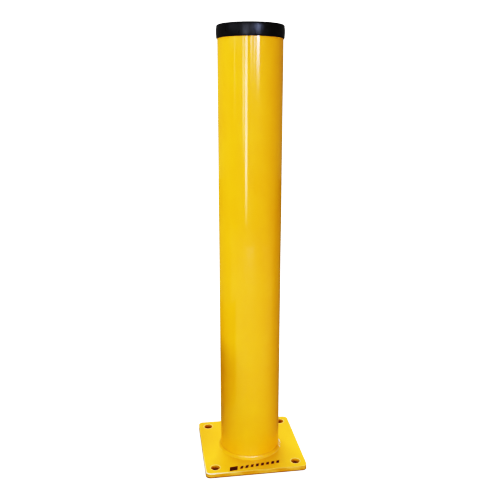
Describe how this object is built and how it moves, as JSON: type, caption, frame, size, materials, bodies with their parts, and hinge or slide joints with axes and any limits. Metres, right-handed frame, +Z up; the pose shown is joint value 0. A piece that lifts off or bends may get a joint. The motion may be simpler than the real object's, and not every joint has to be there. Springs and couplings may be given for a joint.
{
  "type": "safety bollard",
  "caption": "Bolt-down safety bollard: round steel pipe welded to a square anchor plate, yellow powder coat, with a black rubber cap that lifts off.",
  "frame": {"origin": "centre of the anchor plate's underside, on the floor", "axes": "+Z up along the pipe, towards the cap; the plate's sides are parallel to X and Y, and the front is -Y"},
  "size_m": [0.254, 0.254, 1.0668],
  "materials": {
    "yellow_powder_coat": "glossy safety yellow powder coat",
    "black_rubber": "satin moulded rubber"
  },
  "bodies": {
    "post": {"post_tube": "yellow_powder_coat", "base_plate": "yellow_powder_coat", "weld_bead": "yellow_powder_coat"},
    "cap": {"end_cap": "black_rubber"}
  },
  "joints": [
    {"name": "cap_lift", "type": "slide", "parent": "post", "child": "cap", "axis": [0, 0, 1], "range_m": [0, 0.06]}
  ]
}
